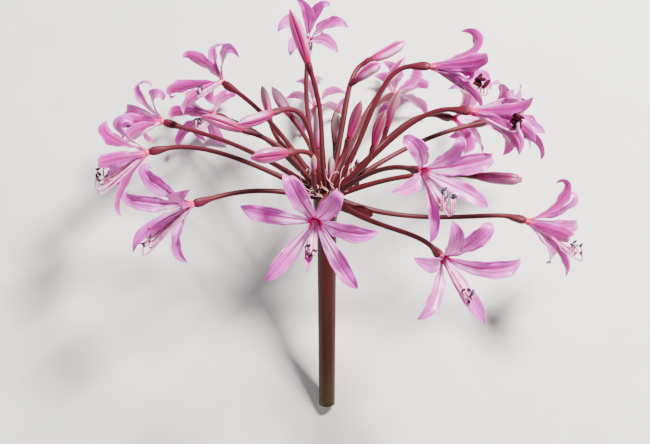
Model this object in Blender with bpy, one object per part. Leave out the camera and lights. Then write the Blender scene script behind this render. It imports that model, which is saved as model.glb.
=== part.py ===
"""Brunsvigia radulosa: one picked flower head with its stalk, lying on a flat surface.

The plant frame has its origin in the middle of the umbel, X to the right, Y away from the viewer and Z
up the stalk. The umbel is set out as it is seen from a point 1.05 m in front of it and 22 degrees above:
a sight is a pair (right, up) in steps of 0.9 mm on the plane through the umbel's middle, and a depth is
the distance behind that plane. The whole flower head then hangs from one empty, which lays it down.
"""

import math
from dataclasses import dataclass, field

import bmesh
import bpy
from mathutils import Matrix, Quaternion, Vector

# The viewing point and the grid in which the umbel is set out.
SIGHT_RISE = math.radians(22.0)
SIGHT_DISTANCE = 1.05
SIGHT_STEP = 0.0009

# The stalk.
STALK_LENGTH = 0.216
STALK_RADIUS = 0.0085
DOME_RADIUS = 0.0125
PEDICEL_RADIUS = 0.0024
OVARY_LENGTH = 0.015
OVARY_RADIUS = 0.0040

# The flowers.
TEPAL_LENGTH = 0.060
TEPAL_HALF_WIDTH = 0.0062
TEPAL_THICKNESS = 0.0010
TEPAL_CHANNEL = 0.0013
TUBE_RADIUS = 0.0042
CLAW_RING = 0.0028
THREAD_RING = 0.0013
THREAD_FAN = 4.0
TUBE_LENGTH = 0.0045
FILAMENT_LENGTH = 0.044
FILAMENT_RADIUS = 0.0005
ANTHER_RADIUS = 0.0011
GAP = 0.0003

# The dry bract below the umbel and the fine threads between the flower stems.
BRACT_START = Vector((0.0114, -0.0042, -0.0100))
BRACT_WAY = (0.80, 0.10, 0.60)
BRACTEOLES = 6
BRACTEOLE_RADIUS = 0.0006

# How the flower head lies: the stalk's lean above the surface, its roll and the umbel's middle.
LEAN = math.radians(39.8)
ROLL = math.radians(3.2)
MIDDLE = Vector((-0.0120, -0.0071, 0.1447))

# Width of a tepal along its length: (place from base 0 to tip 1, share of the half width).
TEPAL_STATIONS = ((0.0, 0.20), (0.36, 0.68), (0.70, 0.95), (1.0, 0.12))


@dataclass(frozen=True)
class Tepal:
    """One tepal: its tip's sight, whether the tip is nearer than its base (+1) or behind (-1), and curl."""

    right: float
    up: float
    side: float = 1.0
    curl: float = 45.0
    late: float = 1.7
    width: float = 1.0
    length: float = 1.0


@dataclass(frozen=True)
class Flower:
    """One open flower: sight and depth of its base, the way it faces, its tepals and its anthers."""

    name: str
    base: tuple
    depth: float
    faces: tuple
    anthers: tuple
    tepals: tuple = field(default_factory=tuple)
    arch: float = 0.25


@dataclass(frozen=True)
class Bud:
    """One closed bud: sight and depth of its base and of its tip, and its radius."""

    name: str
    base: tuple
    depth: float
    tip: tuple
    tip_depth: float
    radius: float
    arch: float = 0.25


FLOWERS = (
    Flower("flower_front", (-11, -24), -0.128, (-0.10, -0.35, 0.93), (-20, -55, 1.0), (
        Tepal(-39, 25), Tepal(13, 8), Tepal(51, -35), Tepal(31, -92, curl=35.0), Tepal(-20, -75, width=0.5),
        Tepal(-62, -84, curl=35.0), Tepal(-87, -9, curl=35.0)), arch=0.10),
    Flower("flower_left_low", (-134, -7), -0.035, (-0.80, -0.25, 0.40), (-184, -51, 1.0), (
        Tepal(-182, 29, 1.0), Tepal(-200, 2, -1.0), Tepal(-194, -55, 1.0), Tepal(-140, -65, 1.0, 60.0),
        Tepal(-137, 7, 1.0, 90.0), Tepal(-172, -42, -1.0, 60.0))),
    Flower("flower_left_mid", (-178, 45), 0.005, (-0.93, -0.20, 0.10), (-220, 21, 1.0), (
        Tepal(-222, 78, -1.0), Tepal(-229, 33, 1.0), Tepal(-197, 60, 1.0, 80.0), Tepal(-201, 17, -1.0, 80.0),
        Tepal(-206, -20, 1.0), Tepal(-217, 8, -1.0, 60.0))),
    Flower("flower_left_high", (-163, 75), 0.069, (-0.85, 0.25, 0.10), (-205, 67, 1.0), (
        Tepal(-174, 116, -1.0), Tepal(-165, 100, 1.0, 90.0), Tepal(-200, 90, -1.0, 60.0),
        Tepal(-210, 74, 1.0, 60.0), Tepal(-195, 50, 1.0, 60.0), Tepal(-172, 56, -1.0, 90.0))),
    Flower("flower_back_left_high", (-103, 114), 0.075, (-0.70, 0.50, -0.35), (-139, 104, 1.0), (
        Tepal(-145, 140, -1.0), Tepal(-107, 145, -1.0, 80.0), Tepal(-94, 141, 1.0, 90.0),
        Tepal(-152, 107, -1.0), Tepal(-143, 82, 1.0), Tepal(-112, 92, -1.0, 90.0))),
    Flower("flower_back_left_low", (-111, 81), 0.125, (-0.75, 0.25, -0.50), (-142, 62, 1.0), (
        Tepal(-155, 82, -1.0), Tepal(-137, 106, -1.0, 70.0), Tepal(-91, 102, -1.0, 80.0),
        Tepal(-149, 49, -1.0), Tepal(-99, 52, -1.0, 80.0), Tepal(-122, 56, -1.0, 80.0))),
    Flower("flower_top", (-19, 155), 0.045, (-0.05, 0.50, 0.85), (-16, 143, 1.0), (
        Tepal(-30, 197), Tepal(0, 191, curl=60.0), Tepal(21, 169, curl=60.0), Tepal(11, 144, curl=60.0),
        Tepal(-37, 141, curl=60.0), Tepal(-49, 165, curl=70.0))),
    Flower("flower_back_centre", (-11, 90), 0.118, (0.0, 0.70, -0.70), (-13, 112, -1.0), (
        Tepal(-41, 98, -1.0), Tepal(-31, 115, -1.0, 60.0), Tepal(-4, 117, -1.0, 60.0),
        Tepal(19, 103, -1.0), Tepal(18, 80, -1.0, 60.0), Tepal(-25, 61, -1.0, 60.0))),
    Flower("flower_back_right", (66, 102), 0.122, (0.60, 0.35, -0.70), (84, 92, -1.0), (
        Tepal(100, 110, -1.0, 60.0), Tepal(99, 80, -1.0), Tepal(56, 135, -1.0, 70.0),
        Tepal(47, 121, -1.0, 80.0), Tepal(86, 134, -1.0, 60.0), Tepal(51, 84, -1.0, 80.0))),
    Flower("flower_right_high", (103, 130), -0.030, (0.95, -0.05, 0.25), (161, 111, 1.0), (
        Tepal(134, 166, 1.0, 90.0, 3.0), Tepal(160, 142, 1.0), Tepal(154, 85, 1.0), Tepal(148, 122, 1.0, 30.0),
        Tepal(141, 158, -1.0, 60.0), Tepal(152, 108, -1.0, 60.0)), arch=0.05),
    Flower("flower_right_upper", (144, 85), -0.064, (0.85, -0.15, 0.45), (192, 75, 1.0), (
        Tepal(206, 100, 1.0), Tepal(209, 42, 1.0), Tepal(186, 48, 1.0, 60.0), Tepal(178, 112, -1.0, 60.0),
        Tepal(202, 76, 1.0, 30.0), Tepal(174, 36, -1.0, 60.0))),
    Flower("flower_right_upper_back", (125, 79), 0.070, (0.70, -0.10, -0.30), (148, 60, -1.0), (
        Tepal(120, 107, 1.0, 90.0), Tepal(138, 110, -1.0, 70.0), Tepal(153, 40, -1.0),
        Tepal(172, 62, -1.0), Tepal(112, 52, -1.0, 80.0), Tepal(132, 42, 1.0, 70.0))),
    Flower("flower_far_right_back", (159, 75), 0.044, (0.90, 0.20, -0.20), (196, 92, 1.0), (
        Tepal(163, 111, 1.0, 90.0), Tepal(192, 113, -1.0), Tepal(180, 104, 1.0, 60.0),
        Tepal(210, 72, 1.0), Tepal(203, 48, -1.0), Tepal(176, 42, -1.0, 80.0))),
    Flower("flower_right_mid", (94, 26), -0.100, (0.55, -0.15, 0.82), (124, 0, 1.0), (
        Tepal(76, 57), Tepal(133, 58), Tepal(163, 40), Tepal(161, -10), Tepal(103, -46), Tepal(65, 5))),
    Flower("flower_right_low", (115, -60), -0.085, (0.40, -0.45, 0.80), (146, -101, 1.0), (
        Tepal(193, -61, 1.0), Tepal(158, -127, 1.0), Tepal(91, -123, 1.0), Tepal(87, -61, 1.0, 60.0),
        Tepal(125, -24, 1.0, 60.0), Tepal(156, -30, 1.0)), arch=-0.15),
    Flower("flower_right_far", (199, -24), 0.005, (0.85, -0.40, 0.15), (253, -53, 1.0), (
        Tepal(229, 15, 1.0, 60.0), Tepal(245, 1, -1.0), Tepal(241, -41, 1.0, 30.0), Tepal(239, -80, 1.0),
        Tepal(219, -66, -1.0, 70.0), Tepal(250, -24, -1.0, 60.0)), arch=0.10),
)

BUDS = (
    Bud("bud_top", (-19, 133), -0.020, (-37, 187), -0.040, 0.0055, 0.05),
    Bud("bud_back_left", (-58, 82), 0.060, (-65, 111), 0.074, 0.0045),
    Bud("bud_back", (-35, 80), 0.080, (-55, 110), 0.092, 0.0045),
    Bud("bud_left", (-84, 67), -0.025, (-125, 81), -0.036, 0.0055),
    Bud("bud_left_drooping", (-54, 84), -0.045, (-89, 73), -0.062, 0.0055, 0.9),
    Bud("bud_left_near", (-40, 44), -0.050, (-76, 39), -0.066, 0.0065, 0.7),
    Bud("bud_slender", (-10, 48), 0.009, (-10, 89), 0.001, 0.0035),
    Bud("bud_back_short", (10, 85), 0.075, (18, 99), 0.096, 0.0040),
    Bud("bud_middle_pale", (10, 53), 0.034, (9, 85), 0.028, 0.0045),
    Bud("bud_middle_dark", (22, 59), 0.000, (34, 96), -0.010, 0.0050),
    Bud("bud_right", (60, 69), 0.030, (73, 107), 0.026, 0.0045),
    Bud("bud_right_near", (47, 51), -0.005, (59, 87), -0.014, 0.0050),
    Bud("bud_upper_right", (44, 137), 0.035, (78, 155), 0.033, 0.0055),
    Bud("bud_upper_near", (30, 117), 0.005, (53, 133), -0.010, 0.0050),
    Bud("bud_upper_back", (57, 110), 0.060, (78, 139), 0.056, 0.0050),
    Bud("bud_far_right", (151, 21), -0.030, (195, 17), -0.034, 0.0050),
    Bud("bud_small_striped", (3, 19), -0.018, (4, 41), -0.028, 0.0030),
    Bud("bud_small_withered", (-13, 26), -0.038, (-13, 42), -0.044, 0.0030),
    Bud("bud_small_pale", (23, 45), 0.056, (27, 56), 0.062, 0.0026),
    Bud("bud_small_pink", (30, 25), 0.030, (30, 38), 0.028, 0.0026),
)

# Share of a bud's radius along its length: (place from base 0 to tip 1, share).
BUD_STATIONS = ((0.0, 0.55), (0.28, 0.90), (0.60, 1.0), (0.85, 0.62), (1.0, 0.12))

COLOURS = {
    "stalk": (0.160, 0.035, 0.040),
    "bract": (0.300, 0.110, 0.070),
    "flower": (0.700, 0.330, 0.560),
    "bud": (0.460, 0.090, 0.210),
}

SIGHT_RIGHT = Vector((1.0, 0.0, 0.0))
SIGHT_UP = Vector((0.0, math.sin(SIGHT_RISE), math.cos(SIGHT_RISE)))
SIGHT_TOWARD = Vector((0.0, -math.cos(SIGHT_RISE), math.sin(SIGHT_RISE)))
EYE = SIGHT_TOWARD * SIGHT_DISTANCE


def clear_scene():
    """Removes every object of the scene."""
    for item in list(bpy.data.objects):
        bpy.data.objects.remove(item, do_unlink=True)


def sight_point(right, up, depth):
    """Gives the place seen at (right, up), so far behind the plane through the umbel's middle."""
    on_plane = (SIGHT_RIGHT * right + SIGHT_UP * up) * SIGHT_STEP
    return EYE + (on_plane - EYE) * (1.0 + depth / SIGHT_DISTANCE)


def seen_at(start, right, up, reach, side):
    """Gives the place on a line of sight that lies the given reach from start, on its near or far side."""
    on_plane = (SIGHT_RIGHT * right + SIGHT_UP * up) * SIGHT_STEP
    ray = (on_plane - EYE).normalized()
    middle = (start - EYE).dot(ray)
    miss = (start - EYE - ray * middle).length
    half = math.sqrt(max(0.0, reach * reach - miss * miss))
    return EYE + ray * (middle - side * half)


def facing(faces):
    """Turns a (right, up, toward) direction into one of the plant frame."""
    return (SIGHT_RIGHT * faces[0] + SIGHT_UP * faces[1] + SIGHT_TOWARD * faces[2]).normalized()


def bend(curl, late, steps=24):
    """Gives points of a line of length 1 that turns by curl, most of it toward its end."""
    points = [(0.0, 0.0)]
    for i in range(steps):
        turn = curl * ((i + 0.5) / steps) ** late
        x, y = points[-1]
        points.append((x + math.cos(turn) / steps, y + math.sin(turn) / steps))
    return points


def claw_ways(base, axis, tepals):
    """Gives the way from the axis to each tepal's claw: evenly round the tube, in the order of the tips."""
    first = axis.orthogonal().normalized()
    second = axis.cross(first)
    turns = []
    for tepal in tepals:
        aside = seen_at(base, tepal.right, tepal.up, TEPAL_LENGTH, tepal.side) - base
        turns.append(math.atan2(aside.dot(second), aside.dot(first)))
    order = sorted(range(len(turns)), key=turns.__getitem__)
    step = 2.0 * math.pi / len(turns)
    east = sum(math.cos(turns[i] - rank * step) for rank, i in enumerate(order))
    north = sum(math.sin(turns[i] - rank * step) for rank, i in enumerate(order))
    begin = math.atan2(north, east)
    ways = {}
    for rank, i in enumerate(order):
        turn = begin + rank * step
        ways[i] = first * math.cos(turn) + second * math.sin(turn)
    return [ways[i] for i in range(len(turns))]


def tepal_line(base, axis, tepal):
    """Gives a function from 0..1 to (place, way along, way to the axis side, way across) on a midrib."""
    length = TEPAL_LENGTH * tepal.length
    curl = math.radians(tepal.curl)
    points = bend(curl, tepal.late)
    end_x, end_y = points[-1]
    chord = math.hypot(end_x, end_y)
    tip = seen_at(base, tepal.right, tepal.up, chord * length, tepal.side)
    way = tip - base
    length = way.length / chord
    way.normalize()
    across = way.cross(axis)
    if across.length < 0.05:
        across = way.cross(SIGHT_UP)
    across.normalize()
    inward = across.cross(way).normalized()
    lift = math.atan2(end_y, end_x)
    ahead = way * math.cos(lift) + inward * math.sin(lift)
    outward = across.cross(ahead) * -1.0

    def at(place):
        spot = min(place, 0.9999) * (len(points) - 1)
        i = int(spot)
        part = spot - i
        x = points[i][0] * (1 - part) + points[i + 1][0] * part
        y = points[i][1] * (1 - part) + points[i + 1][1] * part
        turn = curl * place ** tepal.late
        along = ahead * math.cos(turn) + outward * math.sin(turn)
        facing_in = ahead * math.sin(turn) - outward * math.cos(turn)
        return base + (ahead * x + outward * y) * length, along, facing_in, across

    return at


def new_object(name, mesh):
    """Links a mesh to the scene as a new object."""
    item = bpy.data.objects.new(name, mesh)
    bpy.context.scene.collection.objects.link(item)
    return item


def tepal_blade(base, axis, tepal):
    """Makes one channelled blade along its midrib."""
    at = tepal_line(base, axis, tepal)
    bm = bmesh.new()
    rows = len(TEPAL_STATIONS) - 1
    bmesh.ops.create_grid(bm, x_segments=2, y_segments=rows, size=1.0)
    for vert in bm.verts:
        row = round((vert.co.y + 1.0) / 2.0 * rows)
        side = round(vert.co.x)
        place, share = TEPAL_STATIONS[row]
        centre, _, inward, across = at(place)
        half = TEPAL_HALF_WIDTH * share * tepal.width
        dish = TEPAL_CHANNEL * share * (1.0 if side else 0.0)
        vert.co = centre + across * (half * side) + inward * dish
    bmesh.ops.triangulate(bm, faces=bm.faces, quad_method="FIXED")
    bmesh.ops.solidify(bm, geom=bm.faces, thickness=TEPAL_THICKNESS)
    return closed_mesh(bm, "blade")


def closed_mesh(bm, name):
    """Turns a closed bmesh into a mesh whose faces point out."""
    bmesh.ops.recalc_face_normals(bm, faces=bm.faces)
    if bm.calc_volume(signed=True) < 0.0:
        bmesh.ops.reverse_faces(bm, faces=bm.faces)
    mesh = bpy.data.meshes.new(name)
    bm.to_mesh(mesh)
    bm.free()
    return mesh


def rod(points, radii, resolution):
    """Makes a round rod through the points, from a curve with a bevel and filled caps."""
    curve = bpy.data.curves.new("rod", "CURVE")
    curve.dimensions = "3D"
    curve.bevel_depth = 1.0
    curve.bevel_resolution = resolution
    curve.use_fill_caps = True
    spline = curve.splines.new("POLY")
    spline.points.add(len(points) - 1)
    for spot, place, radius in zip(spline.points, points, radii):
        spot.co = (*place, 1.0)
        spot.radius = radius
    item = new_object("rod", curve)
    bpy.context.view_layer.update()
    mesh = bpy.data.meshes.new_from_object(item.evaluated_get(bpy.context.evaluated_depsgraph_get()))
    bpy.data.objects.remove(item, do_unlink=True)
    bm = bmesh.new()
    bm.from_mesh(mesh)
    bmesh.ops.remove_doubles(bm, verts=bm.verts, dist=0.00002)
    return closed_mesh(bm, "rod")


def bezier(p0, p1, p2, p3, place):
    """Gives a point of a cubic curve."""
    rest = 1.0 - place
    return p0 * rest**3 + p1 * (3 * place * rest**2) + p2 * (3 * place**2 * rest) + p3 * place**3


def fused(name, meshes, colour):
    """Joins closed meshes in one solid with a Boolean union."""
    first = new_object(name, meshes[0])
    parts = bpy.data.collections.new("parts")
    for mesh in meshes[1:]:
        parts.objects.link(bpy.data.objects.new("part", mesh))
    if parts.objects:
        union = first.modifiers.new("union", "BOOLEAN")
        union.operation = "UNION"
        union.operand_type = "COLLECTION"
        union.collection = parts
        union.solver = "EXACT"
        bpy.context.view_layer.update()
        mesh = bpy.data.meshes.new_from_object(first.evaluated_get(bpy.context.evaluated_depsgraph_get()))
        first.modifiers.clear()
        first.data = mesh
    for item in list(parts.objects):
        bpy.data.objects.remove(item, do_unlink=True)
    bpy.data.collections.remove(parts)
    mesh = first.data
    mesh.materials.clear()
    mesh.materials.append(material(name, colour))
    mesh.shade_smooth()
    mesh.set_sharp_from_angle(angle=math.radians(40.0))
    return first


def material(name, colour):
    """Makes a plain material."""
    made = bpy.data.materials.new(name)
    made.use_nodes = True
    shader = made.node_tree.nodes["Principled BSDF"]
    shader.inputs["Base Color"].default_value = (*colour, 1.0)
    shader.inputs["Roughness"].default_value = 0.5
    shader.inputs["Metallic"].default_value = 0.0
    return made


def filament_mesh(base, axis, flower, number):
    """Makes one thread of a flower: six carry an anther, the last is the style."""
    style = number == 6
    right, up, side = flower.anthers
    reach = FILAMENT_LENGTH * (0.86 + 0.03 * (number % 3)) * (1.06 if style else 1.0)
    ring = axis.orthogonal().normalized() * (0.0 if style else THREAD_RING)
    ring.rotate(Quaternion(axis, math.radians(60.0 * number)))
    start = base + axis * (TUBE_LENGTH * 0.5) + ring
    aim = seen_at(base, right, up, reach, side) + ring * THREAD_FAN
    span = (aim - start).length
    way = (aim - start).normalized()
    p1 = start + axis * (span * 0.35)
    p2 = aim - way * (span * 0.2) - Vector((0.0, 0.0, span * 0.16))
    points = [bezier(start, p1, p2, aim, place) for place in (0.0, 0.5, 0.9, 1.0)]
    radii = [FILAMENT_RADIUS] * 3 + [FILAMENT_RADIUS * 0.8]
    if not style:
        radii[2:] = [ANTHER_RADIUS, ANTHER_RADIUS * 0.5]
    return rod(points, radii, 0)


def make_flower(flower):
    """Makes one open flower: tube, tepals, stamens and style in one solid."""
    base = sight_point(*flower.base, flower.depth)
    axis = facing(flower.faces)
    tube = rod([base + axis * GAP, base + axis * TUBE_LENGTH], [OVARY_RADIUS * 0.8, TUBE_RADIUS], 1)
    meshes = [tube]
    for tepal, way in zip(flower.tepals, claw_ways(base, axis, flower.tepals)):
        claw = base + axis * (TUBE_LENGTH * 0.5) + way * CLAW_RING
        meshes.append(tepal_blade(claw, axis, tepal))
    for number in range(7):
        meshes.append(filament_mesh(base, axis, flower, number))
    return fused(flower.name, meshes, COLOURS["flower"])


def make_bud(bud):
    """Makes one closed bud."""
    base = sight_point(*bud.base, bud.depth)
    tip = sight_point(*bud.tip, bud.tip_depth)
    way = (tip - base).normalized()
    start = base + way * GAP
    points = [start.lerp(tip, place) for place, _ in BUD_STATIONS]
    radii = [bud.radius * share for _, share in BUD_STATIONS]
    return fused(bud.name, [rod(points, radii, 1)], COLOURS["bud"])


def pedicel(base, axis, arch, swell):
    """Makes one flower stem from the umbel's dome to the base of its flower or bud."""
    reach = base.length
    way = base.normalized()
    start = way * (DOME_RADIUS * 0.6)
    leave = (way + Vector((0.0, 0.0, arch))).normalized()
    neck = base - axis * swell
    turn = min(0.35 * reach, 0.035)
    p1 = start + leave * (reach * 0.4)
    p2 = neck - axis * turn
    steps = 4
    points = [bezier(start, p1, p2, neck, i / steps) for i in range(steps + 1)]
    radii = [PEDICEL_RADIUS * (1.3 - 0.3 * min(1.0, i / 2)) for i in range(steps + 1)]
    if swell > 0.008:
        points += [base - axis * (swell * 0.45), base - axis * (swell * 0.15), base]
        radii += [OVARY_RADIUS, OVARY_RADIUS, OVARY_RADIUS * 0.85]
    else:
        points.append(base)
        radii.append(PEDICEL_RADIUS * 1.1)
    return rod(points, radii, 1)


def make_bract():
    """Makes the dry bract that hangs out sideways below the umbel."""
    strap = Tepal(41, -15, 1.0, 50.0, width=0.6, length=0.5)
    return fused("bract", [tepal_blade(BRACT_START, facing(BRACT_WAY), strap)], COLOURS["bract"])


def bracteole(number):
    """Makes one curling thread that stands up between the flower stems."""
    turn = 2.0 * math.pi * (number + 0.3) / BRACTEOLES
    away = Vector((math.cos(turn), math.sin(turn), 0.0))
    aside = Vector((-math.sin(turn), math.cos(turn), 0.0))
    up = Vector((0.0, 0.0, 1.0))
    points = [away * 0.007 + up * 0.004, away * 0.011 + up * 0.013 + aside * 0.002,
              away * 0.014 + up * 0.020 - aside * 0.002, away * 0.020 + up * 0.022 + aside * 0.001]
    return rod(points, [BRACTEOLE_RADIUS] * 4, 0)


def make_stalk():
    """Makes the stalk with its dome and every flower stem."""
    top = STALK_RADIUS * 1.1
    scape = rod(
        [Vector((0, 0, -STALK_LENGTH)), Vector((0, 0, -0.10)), Vector((0, 0, -0.025)), Vector((0, 0, -0.006)),
         Vector((0, 0, 0.004)), Vector((0, 0, 0.010))],
        [STALK_RADIUS * 0.97, STALK_RADIUS, top, DOME_RADIUS, DOME_RADIUS * 0.9, DOME_RADIUS * 0.4], 4)
    meshes = [scape]
    for flower in FLOWERS:
        base = sight_point(*flower.base, flower.depth)
        meshes.append(pedicel(base, facing(flower.faces), flower.arch, OVARY_LENGTH))
    for bud in BUDS:
        base = sight_point(*bud.base, bud.depth)
        tip = sight_point(*bud.tip, bud.tip_depth)
        meshes.append(pedicel(base, (tip - base).normalized(), bud.arch, 0.004))
    meshes += [bracteole(number) for number in range(BRACTEOLES)]
    return fused("stalk", meshes, COLOURS["stalk"])


def main():
    """Builds the flower head and lays it down."""
    clear_scene()
    head = bpy.data.objects.new("head", None)
    bpy.context.scene.collection.objects.link(head)
    pieces = [make_stalk(), make_bract()]
    pieces += [make_flower(flower) for flower in FLOWERS]
    pieces += [make_bud(bud) for bud in BUDS]
    for piece in pieces:
        piece.parent = head
    lay = Matrix.Rotation(LEAN - math.pi / 2, 4, "X")
    head.matrix_world = Matrix.Translation(MIDDLE) @ Matrix.Rotation(ROLL, 4, "Y") @ lay
    bpy.context.view_layer.update()


main()
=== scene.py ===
"""The looks of a picked candelabra lily head: petals, buds, flower stems, stalk, light and camera."""

from __future__ import annotations

import logging
import math
import random
from dataclasses import dataclass
from enum import Enum
from itertools import accumulate
from typing import Callable, Iterable, Sequence

import bmesh
import bpy
from mathutils import Matrix, Quaternion, Vector

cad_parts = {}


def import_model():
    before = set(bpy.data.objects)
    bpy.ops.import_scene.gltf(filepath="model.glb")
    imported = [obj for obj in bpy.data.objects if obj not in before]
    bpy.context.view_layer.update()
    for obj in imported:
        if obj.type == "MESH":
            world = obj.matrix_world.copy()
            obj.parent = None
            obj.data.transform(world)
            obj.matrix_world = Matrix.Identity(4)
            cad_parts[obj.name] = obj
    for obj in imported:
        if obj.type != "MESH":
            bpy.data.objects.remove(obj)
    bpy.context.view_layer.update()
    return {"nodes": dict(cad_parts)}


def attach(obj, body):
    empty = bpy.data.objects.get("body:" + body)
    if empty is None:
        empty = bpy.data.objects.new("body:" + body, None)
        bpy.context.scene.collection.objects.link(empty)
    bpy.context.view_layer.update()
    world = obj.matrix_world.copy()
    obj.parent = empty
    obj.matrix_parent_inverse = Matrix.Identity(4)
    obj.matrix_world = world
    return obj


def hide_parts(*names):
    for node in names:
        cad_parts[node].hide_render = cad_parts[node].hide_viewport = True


LOG = logging.getLogger("flower_head")
BODY = "root"

# The viewing point and the grid in which the flower head is set out.
SIGHT_RISE = math.radians(22.0)
SIGHT_DISTANCE = 1.05
SIGHT_STEP = 0.0009
SIGHT_RIGHT = Vector((1.0, 0.0, 0.0))
SIGHT_UP = Vector((0.0, math.sin(SIGHT_RISE), math.cos(SIGHT_RISE)))
SIGHT_TOWARD = Vector((0.0, -math.cos(SIGHT_RISE), math.sin(SIGHT_RISE)))
EYE = SIGHT_TOWARD * SIGHT_DISTANCE
PLANT_UP = Vector((0.0, 0.0, 1.0))

# How the flower head lies.
LEAN = math.radians(39.8)
ROLL = math.radians(3.2)
MIDDLE = Vector((-0.0120, -0.0071, 0.1447))
LYING = (Matrix.Translation(MIDDLE) @ Matrix.Rotation(ROLL, 4, "Y")
         @ Matrix.Rotation(LEAN - math.pi / 2, 4, "X"))

TEPAL_LENGTH = 0.060
TEPAL_HALF_WIDTH = 0.0065
TUBE_LENGTH = 0.0045
FILAMENT_LENGTH = 0.044
OVARY_LENGTH = 0.015
BUD_OVARY_LENGTH = 0.008
TUBE_FOOT = 0.0028
BUD_FOOT = 0.55
DOME_RADIUS = 0.0125

# The greatest phase that chance gives the waves of a tepal or the bow of a bud.
MOST_PHASE = 6.3

Colour = tuple[float, float, float]


class Slot(Enum):
    """The record's material slots."""

    STEM = "stem"
    BRACT = "dry_bract"
    PETAL = "petal"
    BUD = "bud"


class Anther(Enum):
    """A flower's anthers, by half their length and their radius: spent and dark, or fresh and crimson."""

    SPENT = (0.0024, 0.0011)
    FRESH = (0.0052, 0.0017)


@dataclass(frozen=True)
class Tepal:
    """One tepal.

    The tip lies at the sight (right, up), nearer than the claw where side is 1 and behind it where side
    is -1. The blade turns by curl degrees, the later the higher late is, and its last quarter rolls back
    by hook degrees more, from the place roll on. It turns round its midrib by the share look of what
    would show the viewer its inner side, or its outer side where look is negative.
    """

    right: float
    up: float
    side: float = 1.0
    curl: float = 45.0
    late: float = 1.7
    width: float = 1.0
    length: float = 1.0
    hook: float = 25.0
    look: float = 0.0
    roll: float = 0.72


@dataclass(frozen=True)
class Flower:
    """One open flower: sight and depth of its base, the way it faces, its anthers and its tepals.

    Its stem rises by the share arch before it bends over. The curve at its end is bend times as long as
    usual, and it bows to the right by the distance sway. The threads hang below their tips by the share
    dip of their span before they turn up, and they spread by fan times their ring.
    """

    name: str
    base: tuple[float, float]
    depth: float
    faces: tuple[float, float, float]
    anthers: tuple[float, float, float]
    tepals: tuple[Tepal, ...]
    arch: float = 0.25
    anther: Anther = Anther.SPENT
    dip: float = 0.3
    bend: float = 1.0
    fan: float = 2.8
    sway: float = 0.0


@dataclass(frozen=True)
class Bud:
    """One closed bud: sight and depth of base and tip, its radius, and how pale, green and blunt it is.

    Its stem is shaped by arch, bend and sway as a flower's is. A fold faces the viewer where spin is 0
    and a seam where it is 60 degrees.
    """

    name: str
    base: tuple[float, float]
    depth: float
    tip: tuple[float, float]
    tip_depth: float
    radius: float
    arch: float = 0.25
    pale: float = 0.4
    green: float = 0.0
    blunt: float = 0.0
    bend: float = 1.0
    spin: float = 25.0
    sway: float = 0.0


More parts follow.
